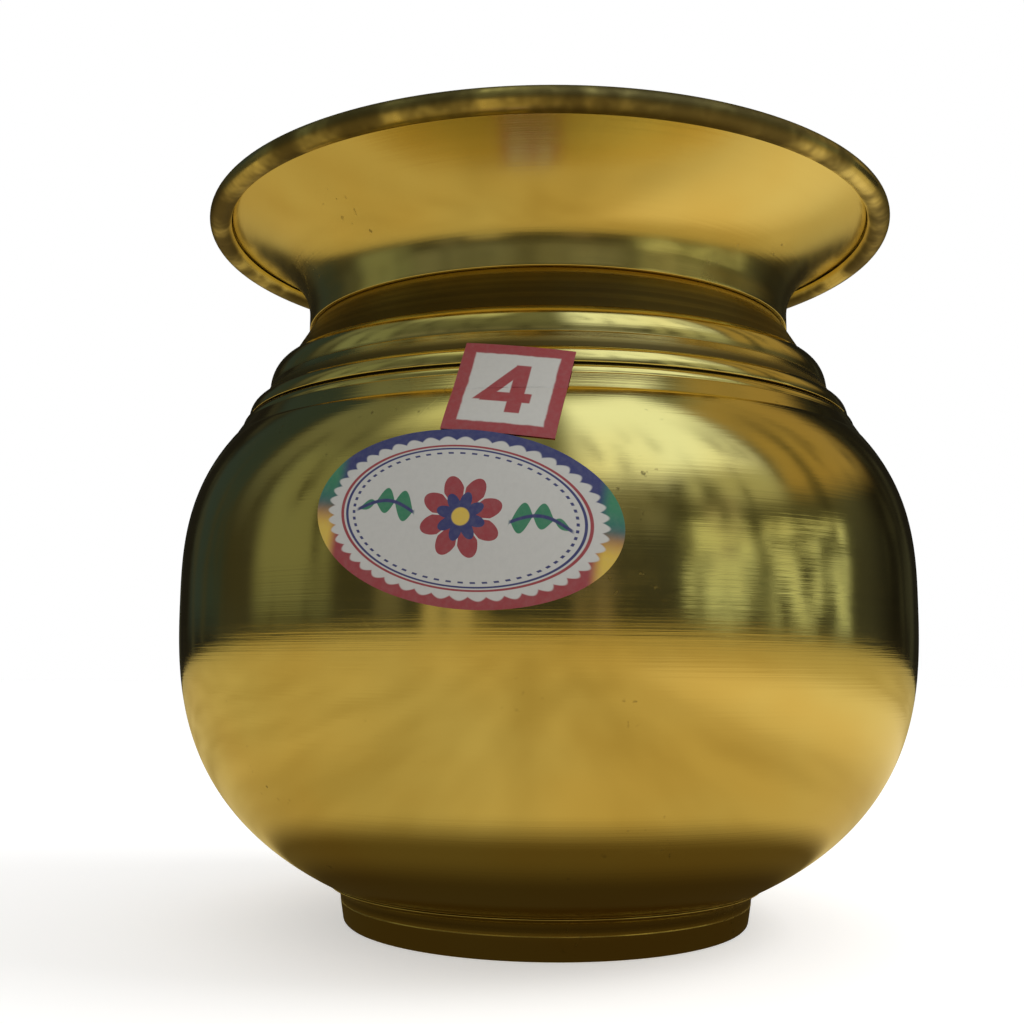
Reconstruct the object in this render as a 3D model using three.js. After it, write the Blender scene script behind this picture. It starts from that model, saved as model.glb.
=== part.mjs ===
// A kalash: a small spun-brass water pot with a belly, stepped shoulder rings and a trumpet mouth.
// Millimetres, +Z up, the foot stands on Z = 0 and the vessel's axis is Z. The labels face -Y.

import * as THREE from "three";

// Overall sizes
const height = 111.1;
const rimRadius = 55.6;
const bellyRadius = 57.6;
const bellyZ = 49;
const footRadius = 31.5;

// Sheet and fits
const wall = 0.6;
const jointGap = 0.08;
const seamGap = 0.06;

// Steps along the curves and round the axis
const turns = 44;
const trumpetSteps = 10;
const curlSteps = 10;
const wireSteps = 8;
const ringSteps = 4;
const shoulderSteps = 9;
const bowlSteps = 12;
const flareSteps = 4;

// Mouth flare and its wired rim
const wireRadius = 1.05;
const wireGap = 0.05;
const curlWall = 0.6;
const rimSlope = THREE.MathUtils.degToRad(25);
const curlEnd = THREE.MathUtils.degToRad(-185);
const sleeveRadius = 39.3;
const sleeveDrop = 18.2;
const sleeveLength = 2.3;
const sleeveLap = 1.9;
const trumpetRise = 6.5;
const trumpetReach = 9;

// Stepped rings below the neck: top and bottom are drops below the rim, widths and steps add to the radius
const neckBand = { widening: 4.1, bottom: 25.0 };
const ringOne = { step: 0.3, width: 2.2, bottom: 29.0 };
const bandTwo = { step: 0.1, width: 1.2, top: 29.1, bottom: 31.5 };
const ringTwo = { step: 0.4, width: 1.4, top: 31.6, bottom: 33.9 };
const groove = { depth: 0.7, top: 34.0, bottom: 34.3 };
const lip = { width: 0.9, top: 34.35, bottom: 35.5 };
const bandThree = { step: 0.1, width: 1.4, top: 35.6, bottom: 37.8 };
const shoulderStart = { step: 0.23, top: 38.0 };

// Belly curve: radius = bellyRadius * sqrt(1 - (distance from the belly / reach) ^ power)
const shoulderPower = 2.71;
const bowlPower = 2.746;
const bellySeamZ = 43.5;
const lapLength = 3;

// Foot
const hemHeight = 3.5;
const hemLean = 0.5;
const hemWall = 1.5;
const footWall = 0.8;
const footLandChamfer = 0.4;
const footFlare = 2.4;
const footSeatZ = 6.13;
const footTip = 0.45;
const creaseDepth = 0.15;
const bottomRadius = 27;
const pushUp = 0.35;

// Paper labels
const paper = 0.12;
const paperGap = 0.07;
const sizeLabel = { width: 14.3, tall: 15, belowCrest: 5.93, angle: -5.2, tilt: -8, rings: 5, sectors: 32 };
const ovalLabel = { width: 39, tall: 21.8, lap: 0.51, angle: -10.1, tilt: -7, rings: 4, sectors: 36 };
const labelLift = { height: 0.2, from: 6, to: 9 };

// Materials
const brass = new THREE.MeshStandardMaterial({ color: 0xc9a24a, roughness: 0.22, metalness: 1 });
const dullBrass = new THREE.MeshStandardMaterial({ color: 0x7d6538, roughness: 0.55, metalness: 1 });
const solder = new THREE.MeshStandardMaterial({ color: 0xb59a55, roughness: 0.5, metalness: 1 });
const paperInk = new THREE.MeshStandardMaterial({ color: 0xe4e2da, roughness: 0.7, metalness: 0 });

const point = (radius, z) => new THREE.Vector2(radius, z);

// A point on a circle of the section, at an angle from the outward direction.
function around(centre, radius, angle) {
  return point(centre.x + radius * Math.cos(angle), centre.y + radius * Math.sin(angle));
}

// Points from one angle to another on a circle of the section.
function arc(centre, radius, from, to, steps) {
  const points = [];
  for (let i = 0; i <= steps; i++) {
    points.push(around(centre, radius, from + ((to - from) * i) / steps));
  }
  return points;
}

// A quarter of an ellipse that leaves its top level and arrives at its bottom upright.
function roundedStep(topRadius, topZ, bottomRadius, bottomZ, steps) {
  const points = [];
  for (let i = 0; i <= steps; i++) {
    const turn = (Math.PI / 2) * (i / steps);
    const radius = topRadius + (bottomRadius - topRadius) * Math.sin(turn);
    const z = bottomZ + (topZ - bottomZ) * Math.cos(turn);
    points.push(point(radius, z));
  }
  return points;
}

// A closed outline turned about the vessel's axis.
function turned(outline) {
  const closed = [...outline];
  if (outline[0].x > 0) {
    closed.push(outline[0].clone());
  }
  return new THREE.LatheGeometry(closed, turns).rotateX(Math.PI / 2);
}

function addMesh(group, name, geometry, material) {
  const mesh = new THREE.Mesh(geometry, material);
  mesh.name = name;
  group.add(mesh);
}

const belowRim = (drop) => height - drop;
const neckRadius = sleeveRadius - wall - jointGap;
const bandOneRadius = neckRadius + neckBand.widening;
const ringOneRadius = bandOneRadius + ringOne.step + ringOne.width;
const bandTwoRadius = ringOneRadius + bandTwo.step;
const bandTwoEnd = bandTwoRadius + bandTwo.width;
const ringTwoRadius = bandTwoEnd + ringTwo.step + ringTwo.width;
const grooveRadius = ringTwoRadius - groove.depth;
const lipRadius = ringTwoRadius + lip.width;
const bandThreeRadius = lipRadius + bandThree.step;
const shoulderRadius = bandThreeRadius + bandThree.width + shoulderStart.step;
const shoulderZ = belowRim(shoulderStart.top);
const footFlareRadius = footRadius + footFlare;

// Distance from the belly at which a curve of this power would close, if it passes a radius at a height.
function reachThrough(radius, z, power) {
  const share = 1 - Math.pow(radius / bellyRadius, 2);
  return Math.abs(z - bellyZ) / Math.pow(share, 1 / power);
}

const shoulderReach = reachThrough(shoulderRadius, shoulderZ, shoulderPower);
const bowlReach = reachThrough(footFlareRadius, footSeatZ, bowlPower);

// Radius of the outside of the vessel at a height, above and below the belly.
function bellyCurve(z) {
  const reach = z > bellyZ ? shoulderReach : bowlReach;
  const power = z > bellyZ ? shoulderPower : bowlPower;
  return bellyRadius * Math.sqrt(1 - Math.pow(Math.abs(z - bellyZ) / reach, power));
}

// Height of the bowl's outside at a radius, the reverse of bellyCurve below the belly.
function bowlHeight(radius) {
  const share = 1 - Math.pow(radius / bellyRadius, 2);
  return bellyZ - bowlReach * Math.pow(share, 1 / bowlPower);
}

// Moves each point of a curve to the right of its direction of travel by a distance.
function offset(points, distance) {
  return points.map((here, i) => {
    const before = points[Math.max(i - 1, 0)];
    const after = points[Math.min(i + 1, points.length - 1)];
    const along = after.clone().sub(before).normalize();
    return point(here.x + along.y * distance, here.y - along.x * distance);
  });
}

const sleeveZ = belowRim(sleeveDrop);
const neckTop = sleeveZ + sleeveLap;
const curlRadius = wireRadius + wireGap + curlWall;
const wireCentre = point(rimRadius - curlRadius, height - curlRadius);

// The trumpet: a sleeve over the neck, a cubic curve out to the rim, and a curl round the wire.
function mouthFlare() {
  const contact = around(wireCentre, wireRadius + wireGap, Math.PI / 2 + rimSlope);
  const curveFoot = point(sleeveRadius, sleeveZ + sleeveLength);
  const curve = new THREE.CubicBezierCurve(
    curveFoot,
    point(curveFoot.x, curveFoot.y + trumpetRise),
    point(contact.x - trumpetReach * Math.cos(rimSlope), contact.y - trumpetReach * Math.sin(rimSlope)),
    contact,
  );
  const underside = [point(sleeveRadius, sleeveZ), ...curve.getPoints(trumpetSteps)];
  const inside = offset(underside, -wall);
  const start = Math.PI / 2 + rimSlope;
  const curlInner = arc(wireCentre, wireRadius + wireGap, start, curlEnd, curlSteps).slice(1);
  const curlOuter = arc(wireCentre, curlRadius, curlEnd, start, curlSteps);
  return turned([...underside, ...curlInner, ...curlOuter, ...inside.slice(0, -1).reverse()]);
}

// The round wire that stiffens the rim.
function rimWire() {
  return turned(arc(wireCentre, wireRadius, 0, Math.PI * 2, wireSteps).slice(0, -1));
}

const ringOnePoints = roundedStep(
  bandOneRadius + ringOne.step,
  belowRim(neckBand.bottom),
  ringOneRadius,
  belowRim(ringOne.bottom),
  ringSteps,
);
const ringTwoPoints = roundedStep(
  bandTwoEnd + ringTwo.step,
  belowRim(ringTwo.top),
  ringTwoRadius,
  belowRim(ringTwo.bottom),
  ringSteps,
);
const ringTwoCrest = ringTwoPoints[ringSteps / 2];

// Neck, stepped rings and shoulder, spun as one shell down to the seam at the belly.
function shoulderShell() {
  const rings = [
    point(neckRadius, neckTop),
    point(neckRadius, sleeveZ),
    point(bandOneRadius, belowRim(neckBand.bottom)),
    ...ringOnePoints,
    point(bandTwoRadius, belowRim(bandTwo.top)),
    point(bandTwoEnd, belowRim(bandTwo.bottom)),
    ...ringTwoPoints,
    point(grooveRadius, belowRim(groove.top)),
    point(grooveRadius, belowRim(groove.bottom)),
    ...roundedStep(ringTwoRadius, belowRim(lip.top), lipRadius, belowRim(lip.bottom), ringSteps / 2),
    point(bandThreeRadius, belowRim(bandThree.top)),
    point(bandThreeRadius + bandThree.width, belowRim(bandThree.bottom)),
  ];
  const shoulder = [];
  const seamZ = bellySeamZ + seamGap;
  for (let i = 0; i <= shoulderSteps; i++) {
    const z = shoulderZ + ((seamZ - shoulderZ) * i) / shoulderSteps;
    shoulder.push(point(bellyCurve(z), z));
  }
  const insideShoulder = offset(shoulder, wall).map((p, i) => (i === shoulderSteps ? point(p.x, seamZ) : p));
  const insideRings = [
    point(neckRadius - wall, neckTop),
    point(neckRadius - wall, sleeveZ - wall / 2),
    point(bandOneRadius - wall, belowRim(neckBand.bottom) - wall / 2),
    point(ringOneRadius - wall, belowRim(ringOne.bottom) - wall / 2),
    point(bandTwoEnd - wall, belowRim(bandTwo.bottom) - wall / 2),
    point(grooveRadius - wall, belowRim(groove.top)),
    point(lipRadius - wall, belowRim(lip.bottom) - wall / 2),
  ];
  return turned([...rings, ...shoulder, ...insideShoulder.reverse(), ...insideRings.reverse()].reverse());
}

// The bowl: its top edge is set in by a wall and rises behind the shoulder, and its bottom is pushed up.
function lowerBowl() {
  const side = [];
  for (let i = 0; i <= bowlSteps; i++) {
    const turn = (Math.PI / 2) * (i / bowlSteps);
    const radius = bottomRadius + (bellyCurve(bellySeamZ) - bottomRadius) * Math.sin(turn);
    side.push(point(radius, bowlHeight(Math.min(radius, bellyCurve(bellySeamZ)))));
  }
  const lapRadius = bellyCurve(bellySeamZ) - wall - jointGap;
  const lapTop = bellySeamZ + lapLength;
  const bottomZ = bowlHeight(bottomRadius) + pushUp;
  const inside = offset(side, -wall).slice(0, -1);
  const outline = [
    point(0, bottomZ),
    ...side,
    point(lapRadius, bellySeamZ),
    point(lapRadius, lapTop),
    point(lapRadius - wall, lapTop),
    point(lapRadius - wall, bellySeamZ - wall),
    ...inside.reverse(),
    point(0, bottomZ + wall),
  ];
  return turned(outline);
}

const skirtRadius = footRadius + hemLean - footWall;

// The foot: a low skirt with a folded hem, a fine crease above it and a flare that follows the bowl.
function footRing() {
  const inner = footRadius - hemWall;
  const seat = (radius) => point(radius, bowlHeight(radius) - jointGap);
  const tip = seat(footFlareRadius);
  const hemTop = point(footRadius + hemLean, hemHeight);
  const flare = new THREE.QuadraticBezierCurve(
    point(hemTop.x, hemTop.y + creaseDepth),
    point(hemTop.x, (hemTop.y + tip.y) / 2),
    point(tip.x, tip.y - footTip),
  );
  const outline = [
    point(inner + footLandChamfer, 0),
    point(footRadius - footLandChamfer, 0),
    point(footRadius, footLandChamfer),
    point(hemTop.x, hemTop.y - creaseDepth),
    point(hemTop.x - creaseDepth, hemTop.y),
    ...flare.getPoints(flareSteps),
    tip,
    seat((tip.x + skirtRadius) / 2),
    seat(skirtRadius),
    point(skirtRadius, hemHeight),
    point(inner, hemHeight - hemLean),
    point(inner, footLandChamfer),
  ];
  return turned(outline);
}

// Fillets of brazing metal, each a ring of three-cornered section in the inner corner of a joint.
function neckBraze() {
  const z = neckTop + jointGap;
  return turned([point(neckRadius - wall, z), point(neckRadius, z), point(neckRadius, z + wall)]);
}

function bellyBraze() {
  const outer = bellyCurve(bellySeamZ) - wall - jointGap;
  const z = bellySeamZ + lapLength + jointGap;
  return turned([point(outer - wall, z), point(outer, z), point(outer, z + wall)]);
}

function footBraze() {
  const outer = skirtRadius - jointGap;
  const inner = outer - 2 * wall;
  return turned([
    point(outer, (bowlHeight(outer) + hemHeight) / 2),
    point(outer, bowlHeight(outer) - jointGap),
    point(inner, bowlHeight(inner) - jointGap),
  ]);
}

// Radius that paper takes over the shoulder: on the curve, then straight across the rings.
function paperRadius(z) {
  if (z <= shoulderZ) {
    return bellyCurve(z) + paperGap;
  }
  const slope = (bellyCurve(shoulderZ) - ringTwoCrest.x) / (ringTwoCrest.y - shoulderZ);
  return bellyCurve(shoulderZ) + paperGap + jointGap - (z - shoulderZ) * slope;
}

// Share of a distance up the paper that is gained in height.
function paperRise(z) {
  return 1 / Math.hypot(1, (paperRadius(z - 1) - paperRadius(z + 1)) / 2);
}

// The size label hangs from the second ring, and the oval label laps over its lower edge.
const sizeLabelZ = ringTwoCrest.y - sizeLabel.belowCrest;
const sizeLabelFoot = sizeLabelZ - (sizeLabel.tall / 2) * paperRise(sizeLabelZ);
const ovalRise = paperRise(sizeLabelFoot - ovalLabel.tall / 2);
const ovalLabelZ = sizeLabelFoot + ovalLabel.lap - (ovalLabel.tall / 2) * ovalRise;

// A paper label wrapped round the vessel: rings of points from its middle out to its edge.
function label(size, middleZ, edge, lift) {
  const middle = THREE.MathUtils.degToRad(size.angle);
  const tilt = THREE.MathUtils.degToRad(size.tilt);
  const rise = paperRise(middleZ);
  const positions = [];
  const place = (across, up, thick) => {
    const x = across * Math.cos(tilt) - up * Math.sin(tilt);
    const y = across * Math.sin(tilt) + up * Math.cos(tilt);
    const z = middleZ + y * rise;
    const angle = middle + x / paperRadius(z);
    const radius = paperRadius(z) + lift(z) + thick;
    positions.push(radius * Math.sin(angle), -radius * Math.cos(angle), z);
  };
  for (const thick of [0, paper]) {
    place(0, 0, thick);
    for (let ring = 1; ring <= size.rings; ring++) {
      for (let i = 0; i < size.sectors; i++) {
        const corner = edge((Math.PI * 2 * i) / size.sectors);
        const share = ring / size.rings;
        place((corner.x * share * size.width) / 2, (corner.y * share * size.tall) / 2, thick);
      }
    }
  }
  const side = 1 + size.rings * size.sectors;
  const at = (layer, ring, i) =>
    layer * side + (ring === 0 ? 0 : 1 + (ring - 1) * size.sectors + (i % size.sectors));
  const index = [];
  for (let i = 0; i < size.sectors; i++) {
    index.push(at(1, 0, 0), at(1, 1, i), at(1, 1, i + 1));
    index.push(at(0, 0, 0), at(0, 1, i + 1), at(0, 1, i));
    for (let ring = 1; ring < size.rings; ring++) {
      index.push(at(1, ring, i), at(1, ring + 1, i), at(1, ring + 1, i + 1));
      index.push(at(1, ring, i), at(1, ring + 1, i + 1), at(1, ring, i + 1));
      index.push(at(0, ring, i), at(0, ring + 1, i + 1), at(0, ring + 1, i));
      index.push(at(0, ring, i), at(0, ring, i + 1), at(0, ring + 1, i + 1));
    }
    const last = size.rings;
    index.push(at(0, last, i), at(0, last, i + 1), at(1, last, i + 1));
    index.push(at(0, last, i), at(1, last, i + 1), at(1, last, i));
  }
  const geometry = new THREE.BufferGeometry();
  geometry.setAttribute("position", new THREE.Float32BufferAttribute(positions, 3));
  geometry.setIndex(index);
  geometry.computeVertexNormals();
  return geometry;
}

// Edge shapes of the labels, as half-size shares at an angle.
const ellipseEdge = (angle) => ({ x: Math.cos(angle), y: Math.sin(angle) });
const squareEdge = (angle) => {
  const reach = Math.max(Math.abs(Math.cos(angle)), Math.abs(Math.sin(angle)));
  return { x: Math.cos(angle) / reach, y: Math.sin(angle) / reach };
};

// The oval label lies over the lower edge of the size label, so its top is lifted by a paper's thickness.
const ovalLift = (z) => {
  const share = THREE.MathUtils.smoothstep(z, ovalLabelZ + labelLift.from, ovalLabelZ + labelLift.to);
  return labelLift.height * share;
};

const kalash = new THREE.Group();
addMesh(kalash, "mouth_flare", mouthFlare(), brass);
addMesh(kalash, "rim_wire", rimWire(), dullBrass);
addMesh(kalash, "shoulder_shell", shoulderShell(), brass);
addMesh(kalash, "lower_bowl", lowerBowl(), brass);
addMesh(kalash, "foot_ring", footRing(), brass);
addMesh(kalash, "neck_braze", neckBraze(), solder);
addMesh(kalash, "belly_braze", bellyBraze(), solder);
addMesh(kalash, "foot_braze", footBraze(), solder);
addMesh(kalash, "size_label", label(sizeLabel, sizeLabelZ, squareEdge, () => 0), paperInk);
addMesh(kalash, "oval_label", label(ovalLabel, ovalLabelZ, ellipseEdge, ovalLift), paperInk);

export default kalash;
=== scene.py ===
# Brass kalash with a wired rim, stepped shoulder rings and two paper labels.
# Metres, +Z up, the foot stands on z = 0 and the labels face -Y. Section sizes are written in millimetres.

import math

import bmesh
import bpy
import numpy as np
from mathutils import Matrix


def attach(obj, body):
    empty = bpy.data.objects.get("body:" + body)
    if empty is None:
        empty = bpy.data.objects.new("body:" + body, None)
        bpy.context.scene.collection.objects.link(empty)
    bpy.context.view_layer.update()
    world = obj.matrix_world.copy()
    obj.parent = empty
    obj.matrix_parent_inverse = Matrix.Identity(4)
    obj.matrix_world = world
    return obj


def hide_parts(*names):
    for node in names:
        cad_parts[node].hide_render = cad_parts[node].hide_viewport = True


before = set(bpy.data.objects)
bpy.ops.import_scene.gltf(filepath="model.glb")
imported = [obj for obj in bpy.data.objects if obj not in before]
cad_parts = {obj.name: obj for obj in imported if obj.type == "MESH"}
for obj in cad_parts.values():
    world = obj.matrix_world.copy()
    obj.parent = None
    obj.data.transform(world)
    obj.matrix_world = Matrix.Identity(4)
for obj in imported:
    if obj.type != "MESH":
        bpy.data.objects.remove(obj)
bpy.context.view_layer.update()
mm = 0.001


# Shader maths: a wrapped socket, whose operators add Math nodes.
class Value:
    def __init__(self, sheet, socket):
        self.sheet = sheet
        self.socket = socket

    def combine(self, operation, other=None, third=None):
        settings = {"operation": operation}
        inputs = [self] + [x for x in (other, third) if x is not None]
        return Value(self.sheet, self.sheet.add("ShaderNodeMath", settings, dict(enumerate(inputs))).outputs[0])

    def __add__(self, other):
        return self.combine("ADD", other)

    def __radd__(self, other):
        return self.combine("ADD", other)

    def __sub__(self, other):
        return self.combine("SUBTRACT", other)

    def __rsub__(self, other):
        return self.combine("MULTIPLY_ADD", -1.0, other)

    def __mul__(self, other):
        return self.combine("MULTIPLY", other)

    def __rmul__(self, other):
        return self.combine("MULTIPLY", other)

    def __truediv__(self, other):
        return self.combine("DIVIDE", other)

    def __pow__(self, other):
        return self.combine("POWER", other)

    def __abs__(self):
        return self.combine("ABSOLUTE")

    def below(self, limit):
        return self.combine("LESS_THAN", limit)

    def above(self, limit):
        return self.combine("GREATER_THAN", limit)

    def sine(self):
        return self.combine("SINE")

    # 0 below low, 1 above high, eased between; the two may be given the other way round.
    def ramp(self, low, high):
        settings = {"interpolation_type": "SMOOTHSTEP"}
        if low < high:
            ends = {0: self, 1: low, 2: high, 3: 0.0, 4: 1.0}
        else:
            ends = {0: self, 1: high, 2: low, 3: 1.0, 4: 0.0}
        return Value(self.sheet, self.sheet.add("ShaderNodeMapRange", settings, ends).outputs[0])


# A material's node sheet: every node but the maths comes from add().
class Sheet:
    def __init__(self, name):
        self.material = bpy.data.materials.new(name)
        self.material.use_nodes = True
        self.tree = self.material.node_tree
        self.shader = self.tree.nodes["Principled BSDF"]

    def add(self, kind, settings=None, inputs=None):
        node = self.tree.nodes.new(kind)
        for key, setting in (settings or {}).items():
            if key == "stops":
                self.setStops(node, setting)
            else:
                setattr(node, key, setting)
        for key, given in (inputs or {}).items():
            self.feed(node.inputs[key], given)
        return node

    def feed(self, socket, given):
        if isinstance(given, Value):
            given = given.socket
        if isinstance(given, bpy.types.NodeSocket):
            self.tree.links.new(given, socket)
        else:
            socket.default_value = given

    def setStops(self, node, stops):
        elements = node.color_ramp.elements
        while len(elements) < len(stops):
            elements.new(0.5)
        for element, (place, colour) in zip(elements, stops):
            element.position = place
            element.color = (*colour, 1)

    # Colour a where factor is 0 and b where it is 1.
    def mix(self, factor, a, b, blend="MIX"):
        settings = {"data_type": "RGBA", "blend_type": blend}
        a = (*a, 1) if isinstance(a, tuple) else a
        b = (*b, 1) if isinstance(b, tuple) else b
        return self.add("ShaderNodeMix", settings, {0: factor, 6: a, 7: b}).outputs[2]

    def attribute(self, name):
        return Value(self, self.add("ShaderNodeAttribute", {"attribute_name": name}).outputs["Fac"])

    def position(self):
        place = self.add("ShaderNodeTexCoord").outputs["Object"]
        parts = self.add("ShaderNodeSeparateXYZ", None, {0: place})
        return [Value(self, parts.outputs[i]) for i in range(3)]

    def vector(self, x, y, z):
        return self.add("ShaderNodeCombineXYZ", None, {0: x, 1: y, 2: z}).outputs[0]

    def noise(self, vector, scale, detail=3.0, roughness=0.5):
        inputs = {"Vector": vector, "Scale": scale, "Detail": detail, "Roughness": roughness}
        return Value(self, self.add("ShaderNodeTexNoise", None, inputs).outputs[0])

    def bump(self, height, distance, strength=1.0, normal=None):
        inputs = {"Strength": strength, "Distance": distance, "Height": height}
        if normal is not None:
            inputs["Normal"] = normal
        return self.add("ShaderNodeBump", None, inputs).outputs[0]

    def principled(self, **sockets):
        for name, given in sockets.items():
            given = (*given, 1) if isinstance(given, tuple) else given
            self.feed(self.shader.inputs[name.replace("_", " ")], given)


# Camera: solved from the rim, the neck line and the foot of the real pot.
cameraSettings = {
    "imagePixels": 1024,
    "focalPixels": 1205,
    "sensor": 36.0,
    "distance": 0.197,
    "height": 0.038,
    "pitch": math.radians(7.6),
    "axisRightOfMiddlePixels": 34.5,
    "roll": math.radians(0.42),
}


def makeCamera(s):
    data = bpy.data.cameras.new("camera")
    data.sensor_width = s["sensor"]
    data.lens = s["focalPixels"] / s["imagePixels"] * s["sensor"]
    data.clip_start = 0.01
    camera = bpy.data.objects.new("camera", data)
    bpy.context.scene.collection.objects.link(camera)
    yaw = math.atan2(s["axisRightOfMiddlePixels"], s["focalPixels"])
    turn = Matrix.Rotation(yaw, 4, "Z") @ Matrix.Rotation(math.pi / 2 + s["pitch"], 4, "X")
    turn = turn @ Matrix.Rotation(s["roll"], 4, "Z")
    camera.matrix_world = Matrix.Translation((0, -s["distance"], s["height"])) @ turn
    bpy.context.scene.camera = camera
    print("camera made")


# Section of the pot in millimetres: the same sizes as the solid model.
pot = {
    "height": 111.1, "rimRadius": 55.6, "bellyRadius": 57.6, "bellyZ": 49, "footRadius": 31.5,
    "wall": 0.6, "jointGap": 0.08, "seamGap": 0.004, "turns": 288,
    "shoulderReach": 42.31, "shoulderPower": 2.71, "bowlReach": 50.05, "bowlPower": 2.746,
    "bellySeamZ": 43.5, "lapLength": 3, "shoulderTopZ": 73.1,
}
mouth = {
    "wireRadius": 1.05, "wireGap": 0.05, "curlWall": 0.6, "rimSlope": math.radians(25),
    "curlEnd": math.radians(-185), "sleeveRadius": 39.3, "sleeveZ": 92.9, "sleeveLength": 2.3,
    "sleeveLap": 1.9, "trumpetRise": 6.5, "trumpetReach": 9,
}
curlRadius = mouth["wireRadius"] + mouth["wireGap"] + mouth["curlWall"]
wireCentre = np.array([pot["rimRadius"] - curlRadius, pot["height"] - curlRadius])
neckRadius = mouth["sleeveRadius"] - pot["wall"] - pot["jointGap"]
neckTop = mouth["sleeveZ"] + mouth["sleeveLap"]


# Outside radius at a height: belly radius times the root of 1 - (distance from the belly / reach) ^ power.
def bellyCurve(z):
    z = np.asarray(z, float)
    reach = np.where(z > pot["bellyZ"], pot["shoulderReach"], pot["bowlReach"])
    power = np.where(z > pot["bellyZ"], pot["shoulderPower"], pot["bowlPower"])
    share = np.abs(z - pot["bellyZ"]) / reach
    return pot["bellyRadius"] * np.sqrt(np.clip(1 - share ** power, 0, 1))


# Height of the bowl's outside at a radius.
def bowlHeight(radius):
    share = 1 - (np.asarray(radius, float) / pot["bellyRadius"]) ** 2
    return pot["bellyZ"] - pot["bowlReach"] * share ** (1 / pot["bowlPower"])


# Points on a circle of the section from one angle to another.
def arc(centre, radius, start, end, steps):
    angle = np.linspace(start, end, steps)
    return np.stack([centre[0] + radius * np.cos(angle), centre[1] + radius * np.sin(angle)], 1)


# A cubic curve through its first and last control points, pulled by the two between.
def cubic(a, b, c, d, steps):
    t = np.linspace(0, 1, steps)[:, None]
    a, b, c, d = (np.asarray(p, float) for p in (a, b, c, d))
    return a * (1 - t) ** 3 + 3 * b * t * (1 - t) ** 2 + 3 * c * t ** 2 * (1 - t) + d * t ** 3


# A quarter of an ellipse, level at its top and upright at its bottom.
def roundedStep(topRadius, topZ, bottomRadius, bottomZ, steps=14):
    turn = np.linspace(0, math.pi / 2, steps)
    radius = topRadius + (bottomRadius - topRadius) * np.sin(turn)
    return np.stack([radius, bottomZ + (topZ - bottomZ) * np.cos(turn)], 1)


# Each point moved square to the curve: to the left of its travel for a positive distance.
def offset(points, distance):
    along = np.gradient(points, axis=0)
    along /= np.linalg.norm(along, axis=1, keepdims=True)
    return points + distance * np.stack([-along[:, 1], along[:, 0]], 1)


# Corners of an outline rounded: each corner gives way to a short curve that starts and ends a cut away from it.
def softened(points, cut, steps=4, closed=True):
    here = np.asarray(points, float)
    before = np.roll(here, 1, 0)
    after = np.roll(here, -1, 0)
    back = before - here
    ahead = after - here
    lengthBack = np.linalg.norm(back, axis=1, keepdims=True)
    lengthAhead = np.linalg.norm(ahead, axis=1, keepdims=True)
    cosine = (back * ahead).sum(1, keepdims=True) / (lengthBack * lengthAhead)
    reach = np.minimum(cut, 0.45 * np.minimum(lengthBack, lengthAhead))
    sharp = (cosine > -0.985)[:, 0]
    if not closed:
        sharp[[0, -1]] = False
    t = np.linspace(0, 1, steps)[None, :, None]
    start = here + back / lengthBack * reach
    end = here + ahead / lengthAhead * reach
    bends = start[:, None] * (1 - t) ** 2 + 2 * here[:, None] * t * (1 - t) + end[:, None] * t ** 2
    return np.concatenate([bends[i] if sharp[i] else here[i : i + 1] for i in range(len(here))])


# A piece's mesh from a grid of points: rows along the section, columns round the pot. A pole is merged to one point.
def gridMesh(name, grid, closedRows, closedColumns, attributes, material):
    rows, columns = grid.shape[:2]
    index = np.arange(rows * columns).reshape(rows, columns)
    nextRow = np.roll(index, -1, 0) if closedRows else index[1:]
    rowsUsed = index if closedRows else index[:-1]
    a = rowsUsed if closedColumns else rowsUsed[:, :-1]
    b = nextRow if closedColumns else nextRow[:, :-1]
    c = np.roll(nextRow, -1, 1) if closedColumns else nextRow[:, 1:]
    d = np.roll(rowsUsed, -1, 1) if closedColumns else rowsUsed[:, 1:]
    faces = np.stack([a, d, c, b], -1).reshape(-1, 4)
    mesh = bpy.data.meshes.new(name)
    mesh.from_pydata(grid.reshape(-1, 3).tolist(), [], faces.tolist())
    for key, values in attributes.items():
        layer = mesh.attributes.new(key, "FLOAT", "POINT")
        layer.data.foreach_set("value", np.ascontiguousarray(values, np.float32).ravel())
    if not closedRows:
        merged = bmesh.new()
        merged.from_mesh(mesh)
        bmesh.ops.remove_doubles(merged, verts=merged.verts, dist=1e-7)
        merged.to_mesh(mesh)
        merged.free()
    mesh.materials.append(material)
    mesh.shade_smooth()
    mesh.set_sharp_from_angle(angle=math.radians(50))
    piece = bpy.data.objects.new(name, mesh)
    bpy.context.scene.collection.objects.link(piece)
    return piece


# Dirt that gathers in hollows of a section: how far each point lies inside the line between its neighbours.
def hollows(points, reach):
    steps = np.linalg.norm(np.diff(points, axis=0, append=points[:1]), axis=1)
    along = np.concatenate([[0], np.cumsum(steps)[:-1]])
    total = steps.sum()
    wide = np.concatenate([along - total, along, along + total])
    columns = [np.concatenate([points[:, k]] * 3) for k in (0, 1)]
    ahead = np.stack([np.interp(along + reach, wide, c) for c in columns], 1)
    back = np.stack([np.interp(along - reach, wide, c) for c in columns], 1)
    middle = (ahead + back) / 2 - points
    tangent = ahead - back
    tangent /= np.linalg.norm(tangent, axis=1, keepdims=True) + 1e-9
    outward = np.stack([tangent[:, 1], -tangent[:, 0]], 1)
    return np.clip((middle * outward).sum(1) / reach * 2.2, 0, 1), along * mm


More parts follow.
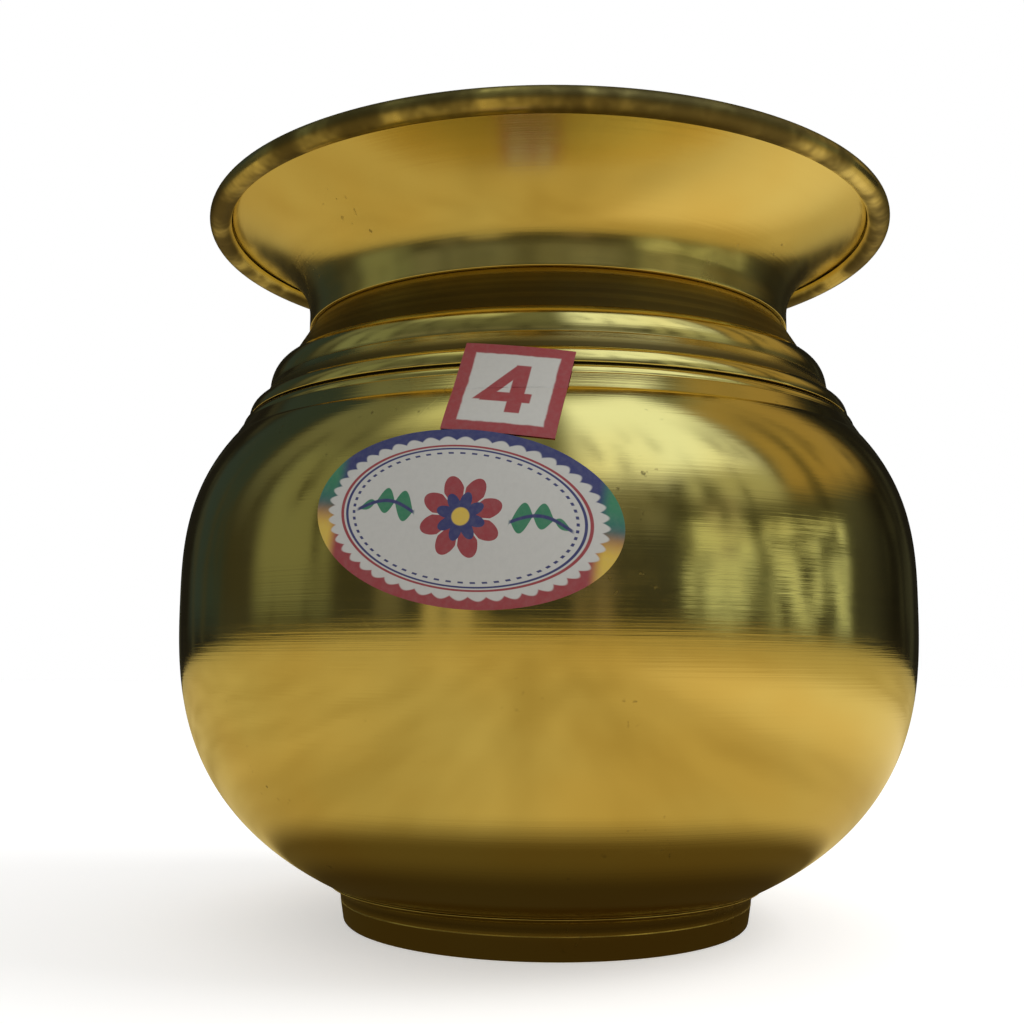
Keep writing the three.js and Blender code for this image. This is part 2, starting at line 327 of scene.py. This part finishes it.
# A section turned about the axis: closed on itself, or open with both ends on the axis.
def turnedPiece(name, section, material, closed=True, grimeReach=0.8):
    section = np.asarray(section, float)
    keep = np.linalg.norm(section - np.roll(section, 1, 0), axis=1) > 1e-4
    section = section[keep]
    area = np.sum(section[:, 0] * np.roll(section[:, 1], -1) - np.roll(section[:, 0], -1) * section[:, 1])
    if area < 0:
        section = section[::-1]
    grime, along = hollows(section, grimeReach)
    angle = np.linspace(0, 2 * math.pi, pot["turns"], endpoint=False)
    radius, z = section[:, :1] * mm, section[:, 1:] * mm
    grid = np.stack([radius * np.sin(angle), -radius * np.cos(angle), z + 0 * angle], -1)
    spread = np.ones_like(angle)
    values = {"along": along[:, None] * spread, "grime": grime[:, None] * spread}
    return gridMesh(name, grid, closed, True, values, material)


def handIn(piece, node):
    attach(piece, "root")
    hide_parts(node)
    print("made", piece.name)


# Polished brass: turning lines that follow the section, light scratches, smudges and dirt in the hollows.
brassSettings = {
    "clean": (0.80, 0.70, 0.31), "warm": (0.76, 0.60, 0.215), "dirt": (0.050, 0.034, 0.016),
    "roughness": 0.10, "smudgedRoughness": 0.34, "lineDepth": 0.000016, "scratchDepth": 0.000006,
}


def brassMaterial(name, satin=0.0, dirtiness=1.0, rimDirt=0.0):
    s = brassSettings
    sheet = Sheet(name)
    x, y, z = sheet.position()
    along = sheet.attribute("along")
    grime = sheet.attribute("grime")
    # Turning lines: noise squeezed thin along the section and drawn out round the pot
    fine = sheet.noise(sheet.vector(x * 14, y * 14, along * 3600), 1.0, 4.0, 0.62)
    coarse = sheet.noise(sheet.vector(x * 6, y * 6, along * 700), 1.0, 3.0, 0.6)
    blotch = sheet.noise(sheet.vector(x, y, z), 55.0, 4.0, 0.6)
    cloud = sheet.noise(sheet.vector(x, y, z * 1.6), 22.0, 3.0, 0.55)
    specks = sheet.noise(sheet.vector(x, y, z), 900.0, 2.0, 0.5)
    # Scratches: thin level curves of a stretched noise
    drift = sheet.noise(sheet.vector(x + z * 0.6, y - z * 0.3, z), 70.0, 1.0, 0.4)
    scratch = (abs(drift - 0.5)).ramp(0.003, 0.0) * blotch.ramp(0.55, 0.70)
    lines = fine * 0.6 + coarse * 0.4
    patch = blotch.ramp(0.55, 0.75)
    dots = specks.ramp(0.66, 0.74) * blotch.ramp(0.56, 0.66)
    dirt = grime * (0.6 + 0.7 * coarse) * dirtiness
    if rimDirt:
        beadStart = (pot["rimRadius"] - 2 * curlRadius) * mm
        nearRim = ((x * x + y * y) ** 0.5).ramp(beadStart - 0.0004, beadStart + 0.0005)
        dirt = dirt + nearRim * blotch.ramp(0.20, 0.60) * rimDirt
    dirtMask = dirt.ramp(0.18, 0.75)
    tone = sheet.mix(cloud.ramp(0.35, 0.68), s["clean"], s["warm"])
    tone = sheet.mix(dots * 0.55, tone, s["dirt"])
    tone = sheet.mix(dirtMask * 0.85, tone, s["dirt"])
    rough = s["roughness"] + satin + patch * (s["smudgedRoughness"] - s["roughness"]) * 0.35
    rough = rough + (coarse - 0.5) * 0.10 + dirtMask * 0.35 + dots * 0.2
    normal = sheet.bump(lines, s["lineDepth"], 1.0)
    normal = sheet.bump(scratch, s["scratchDepth"], 0.5, normal)
    sheet.principled(Base_Color=tone, Metallic=1.0, Roughness=rough, Normal=normal)
    return sheet.material


# The trumpet mouth: sleeve, cubic curve to the rim, and the curl round the wire.
def makeMouthFlare(material):
    m = mouth
    start = math.pi / 2 + m["rimSlope"]
    inner = m["wireRadius"] + m["wireGap"]
    contact = wireCentre + inner * np.array([math.cos(start), math.sin(start)])
    slope = np.array([math.cos(m["rimSlope"]), math.sin(m["rimSlope"])])
    foot = np.array([m["sleeveRadius"], m["sleeveZ"] + m["sleeveLength"]])
    curve = cubic(foot, foot + [0, m["trumpetRise"]], contact - m["trumpetReach"] * slope, contact, 44)
    sleeve = np.linspace([m["sleeveRadius"], m["sleeveZ"]], foot, 6)[:-1]
    underside = np.concatenate([sleeve, curve])
    inside = offset(underside, pot["wall"])
    curlInner = arc(wireCentre, inner, start, m["curlEnd"], 32)[1:]
    curlOuter = arc(wireCentre, curlRadius, m["curlEnd"], start, 40)
    section = np.concatenate([underside, curlInner, curlOuter, inside[:-1][::-1]])
    handIn(turnedPiece("mouthFlare", softened(section, 0.12), material), "mouth_flare")


def makeRimWire(material):
    section = arc(wireCentre, mouth["wireRadius"], 0, 2 * math.pi, 25)[:-1]
    handIn(turnedPiece("rimWire", section, material), "rim_wire")


# Rings below the neck as radius and height stations, in millimetres.
rings = {
    "bandOneEnd": (42.72, 86.1), "oneTop": (43.02, 86.1), "oneBottom": (45.22, 82.1),
    "bandTwoTop": (45.32, 82.0), "bandTwoEnd": (46.52, 79.6), "twoTop": (46.92, 79.5), "twoBottom": (48.32, 77.2),
    "grooveTop": (47.62, 77.1), "grooveEnd": (47.62, 76.8), "lipTop": (48.32, 76.75), "lipBottom": (49.22, 75.6),
    "bandThreeTop": (49.32, 75.5), "bandThreeEnd": (50.72, 73.3),
}


# Neck band, stepped rings and shoulder, and the wall behind them.
def makeShoulderShell(material):
    r = rings
    wall = pot["wall"]
    seamZ = pot["bellySeamZ"] + pot["seamGap"]
    outside = np.concatenate([
        [[neckRadius, neckTop], [neckRadius, mouth["sleeveZ"]], r["bandOneEnd"]],
        roundedStep(*r["oneTop"], *r["oneBottom"]),
        [r["bandTwoTop"], r["bandTwoEnd"]],
        roundedStep(*r["twoTop"], *r["twoBottom"]),
        [r["grooveTop"], r["grooveEnd"]],
        roundedStep(*r["lipTop"], *r["lipBottom"], 6),
        [r["bandThreeTop"], r["bandThreeEnd"]],
    ])
    z = np.linspace(pot["shoulderTopZ"], seamZ, 70)
    shoulder = np.stack([bellyCurve(z), z], 1)
    insideShoulder = offset(shoulder, -wall)
    insideShoulder[-1] = [insideShoulder[-1, 0], seamZ]
    stations = [r["bandOneEnd"], r["oneBottom"], r["bandTwoEnd"], r["grooveTop"], r["lipBottom"]]
    insideRings = np.array([[neckRadius, neckTop + wall / 2], [neckRadius, mouth["sleeveZ"]]] + stations)
    insideRings -= [wall, wall / 2]
    section = np.concatenate([
        softened(np.concatenate([outside, shoulder]), 0.16, closed=False),
        softened(np.concatenate([insideShoulder[::-1], insideRings[::-1]]), 0.16, closed=False),
    ])
    handIn(turnedPiece("shoulderShell", section, material), "shoulder_shell")


bowl = {"bottomRadius": 27, "pushUp": 0.35}


# The bowl up to its lap behind the shoulder, with the pushed-up bottom.
def makeLowerBowl(material):
    wall = pot["wall"]
    seam = pot["bellySeamZ"]
    seamRadius = float(bellyCurve(seam))
    turn = np.linspace(0, math.pi / 2, 90)
    radius = bowl["bottomRadius"] + (seamRadius - bowl["bottomRadius"]) * np.sin(turn)
    side = np.stack([radius, bowlHeight(radius)], 1)
    side[-1, 1] = seam
    bottomZ = float(bowlHeight(bowl["bottomRadius"])) + bowl["pushUp"]
    lapRadius = seamRadius - wall - pot["jointGap"]
    across = np.linspace(0, bowl["bottomRadius"], 24)[:-1]
    under = np.stack([across, bottomZ - bowl["pushUp"] * (across / bowl["bottomRadius"]) ** 2], 1)
    inside = offset(side, wall)[:-1]
    section = np.concatenate([
        under,
        side,
        [[lapRadius, seam], [lapRadius, seam + pot["lapLength"]]],
        [[lapRadius - wall, seam + pot["lapLength"]], [lapRadius - wall, seam - wall]],
        inside[::-1],
        under[::-1] + [0, wall],
    ])
    handIn(turnedPiece("lowerBowl", section, material, closed=False), "lower_bowl")


foot = {
    "hemHeight": 3.5, "hemLean": 0.5, "hemWall": 1.5, "wall": 0.8, "landChamfer": 0.4,
    "tipRadius": 33.9, "tip": 0.15, "crease": 0.07,
}
skirtRadius = pot["footRadius"] + foot["hemLean"] - foot["wall"]


# The foot ring: folded hem, a fine crease and a flare that follows the bowl.
def makeFootRing(material):
    f = foot
    outer = pot["footRadius"]
    inner = outer - f["hemWall"]
    top = outer + f["hemLean"]
    crease = f["crease"]
    seatRadii = np.linspace(f["tipRadius"], skirtRadius, 12)
    seat = np.stack([seatRadii, bowlHeight(seatRadii) - pot["jointGap"]], 1)
    start = [top, f["hemHeight"] + crease]
    end = [f["tipRadius"], seat[0, 1] - f["tip"]]
    pull = [top, (f["hemHeight"] + seat[0, 1]) / 2]
    pullEnd = [end[0] - 0.9, end[1] - 0.4]
    section = np.concatenate([
        [[inner + f["landChamfer"], 0], [outer - f["landChamfer"], 0], [outer, f["landChamfer"]]],
        [[top, f["hemHeight"] - crease], [top - crease, f["hemHeight"]]],
        cubic(start, pull, pullEnd, end, 16),
        seat,
        [[skirtRadius, f["hemHeight"]], [inner, f["hemHeight"] - f["hemLean"]], [inner, f["landChamfer"]]],
    ])
    handIn(turnedPiece("footRing", softened(section, 0.3, 6), material), "foot_ring")


# Fillets of brazing metal: three-cornered sections in the inner corners of the joints.
def makeBrazes(material):
    wall, gap = pot["wall"], pot["jointGap"]
    neckZ = neckTop + gap
    bellyOuter = float(bellyCurve(pot["bellySeamZ"])) - wall - gap
    bellyZ = pot["bellySeamZ"] + pot["lapLength"] + gap
    footOuter = skirtRadius - gap
    footInner = footOuter - 2 * wall
    sections = {
        "neck": [[neckRadius - wall, neckZ], [neckRadius, neckZ], [neckRadius, neckZ + wall]],
        "belly": [[bellyOuter - wall, bellyZ], [bellyOuter, bellyZ], [bellyOuter, bellyZ + wall]],
        "foot": [
            [footOuter, (float(bowlHeight(footOuter)) + foot["hemHeight"]) / 2],
            [footOuter, float(bowlHeight(footOuter)) - gap],
            [footInner, float(bowlHeight(footInner)) - gap],
        ],
    }
    for place, section in sections.items():
        piece = turnedPiece(place + "Braze", softened(section, 0.12), material)
        handIn(piece, place + "_braze")


# Paper labels: a disc of rings and spokes laid on the pot, with a thickness.
paper = {"thick": 0.12, "gap": 0.07, "ovalLift": 0.2, "crest": (47.91, 78.83)}
ovalLabel = {"width": 39, "tall": 21.8, "z": 56.2, "angle": math.radians(-10.1), "tilt": math.radians(-7)}
sizeLabel = {"width": 14.3, "tall": 15, "z": 72.9, "angle": math.radians(-5.2), "tilt": math.radians(-8)}


# Radius that paper takes: on the belly's curve, then straight from the shoulder to the second ring's crest.
def paperRadius(z):
    top = pot["shoulderTopZ"]
    crestRadius, crestZ = paper["crest"]
    slope = (float(bellyCurve(top)) - crestRadius) / (crestZ - top)
    straight = float(bellyCurve(top)) + pot["jointGap"] - (z - top) * slope
    return paper["gap"] + np.where(z <= top, bellyCurve(z), straight)


# across and up are distances on the paper; the label plane is turned by its tilt and wrapped round the pot.
def paperPiece(name, s, edge, lift, material, rings=40, spokes=160):
    turn = np.linspace(0, 2 * math.pi, spokes, endpoint=False)
    edgeAcross, edgeUp = edge(turn)
    share = np.concatenate([np.linspace(0, 1, rings), np.linspace(1, 0, rings)])[:, None]
    thick = np.concatenate([np.zeros(rings), np.full(rings, paper["thick"])])[:, None]
    across = edgeAcross * share * s["width"] / 2
    up = edgeUp * share * s["tall"] / 2
    x = across * math.cos(s["tilt"]) - up * math.sin(s["tilt"])
    y = across * math.sin(s["tilt"]) + up * math.cos(s["tilt"])
    lean = float(paperRadius(s["z"] - 1) - paperRadius(s["z"] + 1)) / 2
    z = s["z"] + y / math.hypot(1, lean)
    angle = s["angle"] + x / paperRadius(z)
    radius = paperRadius(z) + lift(z) + thick
    grid = np.stack([radius * np.sin(angle), -radius * np.cos(angle), z], -1) * mm
    values = {"labelX": across, "labelY": up}
    return gridMesh(name, grid, False, True, values, material)


# Inks for the labels. The paper's white is greyed below a paper's true white, to paint the shade that falls on the
# labels.
paperInk = {
    "shadedPaperWhite": (0.52, 0.51, 0.475), "navy": (0.030, 0.036, 0.15), "red": (0.30, 0.035, 0.045),
    "orange": (0.62, 0.12, 0.04), "green": (0.03, 0.20, 0.10), "gold": (0.62, 0.42, 0.05),
    "edge": (0.30, 0.30, 0.29),
}


# The size label: red frame and a plain figure 4 drawn from three strokes.
def sizeLabelMaterial():
    ink = paperInk
    sheet = Sheet("sizeLabelPaper")
    a = sheet.attribute("labelX") / (sizeLabel["width"] / 2)
    b = sheet.attribute("labelY") / (sizeLabel["tall"] / 2)
    x, y, z = sheet.position()
    wobble = (sheet.noise(sheet.vector(x, y, z), 600.0) - 0.5) * 0.05
    frameMask = (abs(a) + wobble).ramp(0.74, 0.78).combine("MAXIMUM", (abs(b) + wobble).ramp(0.76, 0.80))
    # Figure 4: an upright, a bar and a slanting stroke
    upright = abs(a - 0.16).ramp(0.145, 0.12) * abs(b).ramp(0.56, 0.53)
    bar = abs(b + 0.20).ramp(0.12, 0.095) * abs(a + 0.02).ramp(0.46, 0.43)
    slant = abs(a * 0.80 - b * 0.62 + 0.20).ramp(0.115, 0.09)
    slant = slant * b.ramp(-0.30, -0.27) * b.ramp(0.56, 0.53) * a.ramp(0.26, 0.22)
    figure = upright.combine("MAXIMUM", bar).combine("MAXIMUM", slant)
    fibre = sheet.noise(sheet.vector(x, y, z), 1500.0, 3.0, 0.6)
    tone = sheet.mix(frameMask, ink["shadedPaperWhite"], ink["red"])
    tone = sheet.mix(figure, tone, ink["red"])
    tone = sheet.mix(fibre.ramp(0.3, 0.8) * 0.10, tone, ink["edge"])
    sheet.principled(Base_Color=tone, Roughness=0.42 + fibre * 0.1, Normal=sheet.bump(fibre, 0.00002, 0.4))
    return sheet.material


# The oval label: a scalloped border in four colours, thin inner lines and a flower with leaf sprays.
def ovalLabelMaterial():
    ink = paperInk
    sheet = Sheet("ovalLabelPaper")
    a = sheet.attribute("labelX") / (ovalLabel["width"] / 2)
    b = sheet.attribute("labelY") / (ovalLabel["tall"] / 2)
    x, y, z = sheet.position()
    reach = (a * a + b * b) ** 0.5
    turn = a.combine("ARCTAN2", b)
    fibre = sheet.noise(sheet.vector(x, y, z), 1500.0, 3.0, 0.6)
    # Border colours by place: navy above, red below, green and gold at the ends
    ends = abs(a).ramp(0.80, 0.90)
    border = sheet.mix(b.ramp(-0.12, 0.12), ink["red"], ink["navy"])
    border = sheet.mix(ends * b.ramp(-0.30, 0.35), border, ink["green"])
    border = sheet.mix(ends * b.ramp(0.05, -0.28), border, ink["gold"])
    scallop = abs((turn * 24.0).sine()) * 0.045
    borderMask = (reach - scallop).ramp(0.855, 0.875)
    tone = sheet.mix(borderMask, ink["shadedPaperWhite"], border)
    tone = sheet.mix(abs(reach - 0.800).ramp(0.014, 0.008), tone, ink["red"])
    tone = sheet.mix(abs(reach - 0.765).ramp(0.012, 0.007), tone, ink["navy"])
    dots = abs(reach - 0.715).ramp(0.013, 0.007) * (turn * 60.0).sine().ramp(0.0, 0.3)
    tone = sheet.mix(dots, tone, ink["navy"])
    # Flower: petals are lobes of a rose curve about the middle, in true distances
    flat = a * (ovalLabel["width"] / ovalLabel["tall"])
    span = (flat * flat + b * b) ** 0.5
    heading = flat.combine("ARCTAN2", b)
    outerPetal = span.combine("LESS_THAN", 0.30 + 0.17 * abs((heading * 4.0).sine()))
    innerPetal = span.combine("LESS_THAN", 0.17 + 0.11 * abs((heading * 4.0 + 0.785).sine()))
    tone = sheet.mix(outerPetal, tone, ink["red"])
    tone = sheet.mix(abs((heading * 4.0).sine()).ramp(0.16, 0.10) * outerPetal, tone, ink["shadedPaperWhite"])
    tone = sheet.mix(innerPetal, tone, ink["navy"])
    tone = sheet.mix(span.ramp(0.11, 0.09), tone, ink["gold"])
    # Leaf sprays: a wavy stem each side, with leaves above and below it
    side = abs(flat)
    stemRise = ((side - 0.55) * 5.0).sine() * 0.10
    along = side.ramp(0.52, 0.56) * side.ramp(1.26, 1.20)
    stem = abs(b - stemRise).ramp(0.026, 0.014) * along
    leafHalf = abs(((side - 0.55) * 13.5).sine()) * 0.17 * side.ramp(1.34, 0.75)
    leaf = (abs(b - stemRise) - leafHalf).ramp(0.004, -0.006) * along
    tone = sheet.mix(leaf, tone, ink["green"])
    tone = sheet.mix(stem, tone, ink["navy"])
    tone = sheet.mix(fibre.ramp(0.3, 0.8) * 0.10, tone, ink["edge"])
    sheet.principled(Base_Color=tone, Roughness=0.40 + fibre * 0.1, Normal=sheet.bump(fibre, 0.00002, 0.4))
    return sheet.material


def ellipseEdge(turn):
    return np.cos(turn), np.sin(turn)


def squareEdge(turn):
    reach = np.maximum(np.abs(np.cos(turn)), np.abs(np.sin(turn)))
    return np.cos(turn) / reach, np.sin(turn) / reach


# The oval's top rides up on the size label by a paper's thickness.
def ovalLift(z):
    share = np.clip((z - ovalLabel["z"] - 6) / 3, 0, 1)
    return paper["ovalLift"] * share * share * (3 - 2 * share)


def makeLabels():
    small = paperPiece("sizeLabel", sizeLabel, squareEdge, lambda z: 0 * z, sizeLabelMaterial(), 30, 240)
    handIn(small, "size_label")
    oval = paperPiece("ovalLabel", ovalLabel, ellipseEdge, ovalLift, ovalLabelMaterial(), 40, 240)
    handIn(oval, "oval_label")


# Studio: white world, pale floor, soft lamps, and glowing cards that paint reflections which only the polished metal
# sees.
studio = {
    "floorRadius": 4.0, "floorTone": (0.86, 0.86, 0.86), "floorLift": 0.45, "worldDiffuse": 0.64,
    "keyPower": 3.4, "keySize": 0.5, "keyPlace": (0.70, -0.08, 0.62), "cardRadius": 1.1,
}


def makeWorld():
    world = bpy.data.worlds.new("studio")
    world.use_nodes = True
    bpy.context.scene.world = world
    nodes, links = world.node_tree.nodes, world.node_tree.links
    path = nodes.new("ShaderNodeLightPath")
    seen = nodes.new("ShaderNodeMath")
    seen.operation = "MAXIMUM"
    links.new(path.outputs["Is Camera Ray"], seen.inputs[0])
    links.new(path.outputs["Is Glossy Ray"], seen.inputs[1])
    seenToo = nodes.new("ShaderNodeMath")
    seenToo.operation = "MAXIMUM"
    links.new(seen.outputs[0], seenToo.inputs[0])
    links.new(path.outputs["Is Transmission Ray"], seenToo.inputs[1])
    level = nodes.new("ShaderNodeMapRange")
    links.new(seenToo.outputs[0], level.inputs[0])
    level.inputs[3].default_value = studio["worldDiffuse"]
    level.inputs[4].default_value = 1.0
    background = nodes["Background"]
    background.inputs[0].default_value = (1, 1, 1, 1)
    links.new(level.outputs[0], background.inputs[1])


def onlyInReflections(card):
    card.visible_camera = False
    card.visible_diffuse = False
    card.visible_transmission = False
    card.visible_volume_scatter = False
    card.visible_shadow = False


# A card's glow: a colour worked out from its Object coordinates.
def glowMaterial(name, colourOf):
    sheet = Sheet(name)
    sheet.tree.nodes.remove(sheet.shader)
    glow = sheet.add("ShaderNodeEmission", None, {0: colourOf(sheet), 1: 1.0})
    output = next(n for n in sheet.tree.nodes if n.type == "OUTPUT_MATERIAL")
    sheet.tree.links.new(glow.outputs[0], output.inputs[0])
    return sheet.material


# Soft-edged patch of the room between two headings and two heights above the eye line, in degrees.
def patch(heading, rise, left, right, low, high, edge=5.0):
    within = 1.0
    for angle, first, last in ((heading, left, right), (rise, low, high)):
        within = angle.ramp(math.radians(first - edge), math.radians(first + edge)) * within
        within = angle.ramp(math.radians(last + edge), math.radians(last - edge)) * within
    return within


# Patches of the room that the metal mirrors: left, right, low and high in degrees, soft edge, colour.
roomPatches = [
    (-134, -108, 3, 60, 3, (0.030, 0.045, 0.045)),
    (-92, -63, 4, 42, 4, (0.20, 0.22, 0.14)),
    (-72, -22, 56, 84, 10, (0.62, 0.66, 0.45)),
    (-48, -40, 2, 30, 2, (0.13, 0.12, 0.08)),
    (-62, 34, 15, 28, 4, (0.17, 0.17, 0.12)),
    (-34, -16, -2, 7, 1.5, (0.40, 0.33, 0.16)),
    (8, 18, -1, 9, 1.5, (0.18, 0.15, 0.11)),
    (10, 76, 33, 83, 8, (0.98, 1.06, 0.96)),
    (42, 76, 24, 36, 5, (0.42, 0.44, 0.30)),
    (78, 126, 26, 64, 5, (0.36, 0.26, 0.09)),
    (46, 57, 8, 26, 2, (0.30, 0.29, 0.20)),
]


# Glow of the room card, a painted reflection of a dim room: bright openings above, smaller and broken ones near the
# eye line, painted shade behind the pot.
def roomColour(sheet):
    x, y, z = sheet.position()
    flat = (x * x + y * y) ** 0.5
    rise = z.combine("ARCTAN2", flat)
    heading = x.combine("ARCTAN2", y * -1.0)
    streaks = sheet.noise(sheet.vector(heading * 3.2, rise * 0.7, 0.0), 2.4, 3.0, 0.6)
    blocks = sheet.noise(sheet.vector(heading * 3.0, rise * 9.0, 3.0), 2.6, 2.0, 0.5)
    tone = sheet.mix(rise.ramp(0.1, 0.9), (0.045, 0.045, 0.032), (0.16, 0.17, 0.11))
    tone = sheet.mix(abs(heading).ramp(1.75, 2.15), tone, (0.012, 0.011, 0.008))
    for left, right, low, high, edge, colour in roomPatches:
        tone = sheet.mix(patch(heading, rise, left, right, low, high, edge), tone, colour)
    tone = sheet.mix(patch(heading, rise, 38, 96, 2, 18, 2) * blocks.ramp(0.44, 0.50), tone, (0.60, 0.64, 0.40))
    tone = sheet.mix(rise.ramp(1.25, 1.48), tone, (0.40, 0.42, 0.30))
    return sheet.mix(streaks.ramp(0.50, 0.62) * rise.ramp(1.2, 0.6) * 0.8, tone, (0.045, 0.045, 0.028))


# Glow of the ground card, a painted reflection of a warm table: brighter away from the foot, with a painted pool of
# light to the right and painted shadow under the bowl.
def groundColour(sheet):
    x, y, z = sheet.position()
    reach = (x * x + y * y) ** 0.5
    grain = sheet.noise(sheet.vector(x * 3, y, 0.0), 9.0, 3.0, 0.5)
    tone = sheet.mix(grain.ramp(0.3, 0.7), (0.44, 0.33, 0.12), (0.60, 0.47, 0.20))
    tone = sheet.mix(reach.ramp(0.3, 0.9), tone, (0.40, 0.32, 0.13))
    # Painted pool of light on the table, to the right of the pot
    tone = sheet.mix(x.ramp(0.04, 0.14) * reach.ramp(0.34, 0.18), tone, (0.82, 0.66, 0.34))
    # Painted shadow of the pot on the table, darkest at the foot
    tone = sheet.mix(reach.ramp(0.060, 0.048), tone, (0.11, 0.075, 0.02))
    return sheet.mix(reach.ramp(0.046, 0.037), tone, (0.045, 0.029, 0.008))


def makeStudio():
    s = studio
    makeWorld()
    angle = np.linspace(0, 2 * math.pi, 64, endpoint=False)
    rim = np.stack([np.cos(angle), np.sin(angle), 0 * angle], 1)
    disc = bpy.data.meshes.new("floor")
    disc.from_pydata((rim * s["floorRadius"]).tolist(), [], [list(range(64))])
    floor = bpy.data.objects.new("floor", disc)
    bpy.context.scene.collection.objects.link(floor)
    sheet = Sheet("floorPaint")
    path = sheet.add("ShaderNodeLightPath").outputs
    seen = Value(sheet, path["Is Camera Ray"]) + Value(sheet, path["Is Glossy Ray"])
    seen = seen + Value(sheet, path["Is Transmission Ray"])
    lift = sheet.mix(seen, (0.0, 0.0, 0.0), (1.0, 1.0, 1.0))
    sheet.principled(Base_Color=s["floorTone"], Roughness=0.9, Emission_Color=lift)
    sheet.shader.inputs["Specular IOR Level"].default_value = 0.1
    sheet.shader.inputs["Emission Strength"].default_value = s["floorLift"]
    disc.materials.append(sheet.material)
    # Room shell and ground card: glowing cards that paint the reflections in the metal
    turn = np.linspace(0, 2 * math.pi, 96, endpoint=False)
    rise = np.linspace(0.0, math.pi / 2 - 0.01, 40)[:, None]
    shell = np.stack([np.cos(rise) * np.sin(turn), -np.cos(rise) * np.cos(turn), np.sin(rise) + 0 * turn], -1)
    room = gridMesh("roomCard", shell * s["cardRadius"], False, True, {}, glowMaterial("roomGlow", roomColour))
    onlyInReflections(room)
    reach = np.linspace(0.001, s["cardRadius"], 20)[:, None]
    sheetGrid = np.stack([reach * np.sin(turn), -reach * np.cos(turn), 0.00002 + 0 * reach * turn], -1)
    ground = gridMesh("groundCard", sheetGrid, False, True, {}, glowMaterial("groundGlow", groundColour))
    onlyInReflections(ground)
    lamp = bpy.data.lights.new("key", "AREA")
    lamp.energy = s["keyPower"]
    lamp.size = s["keySize"]
    key = bpy.data.objects.new("key", lamp)
    bpy.context.scene.collection.objects.link(key)
    key.visible_glossy = False
    key.location = s["keyPlace"]
    key.rotation_euler = (-key.location).to_track_quat("-Z", "Y").to_euler()
    bpy.context.scene.view_settings.view_transform = "Standard"
    print("studio made")


makeCamera(cameraSettings)
makeStudio()
polished = brassMaterial("polishedBrass")
satin = brassMaterial("satinBrass", satin=0.10, rimDirt=0.75)
worn = brassMaterial("wornBrass", satin=0.22, dirtiness=1.5)
makeMouthFlare(satin)
makeRimWire(worn)
makeShoulderShell(polished)
makeLowerBowl(polished)
makeFootRing(polished)
makeBrazes(worn)
makeLabels()
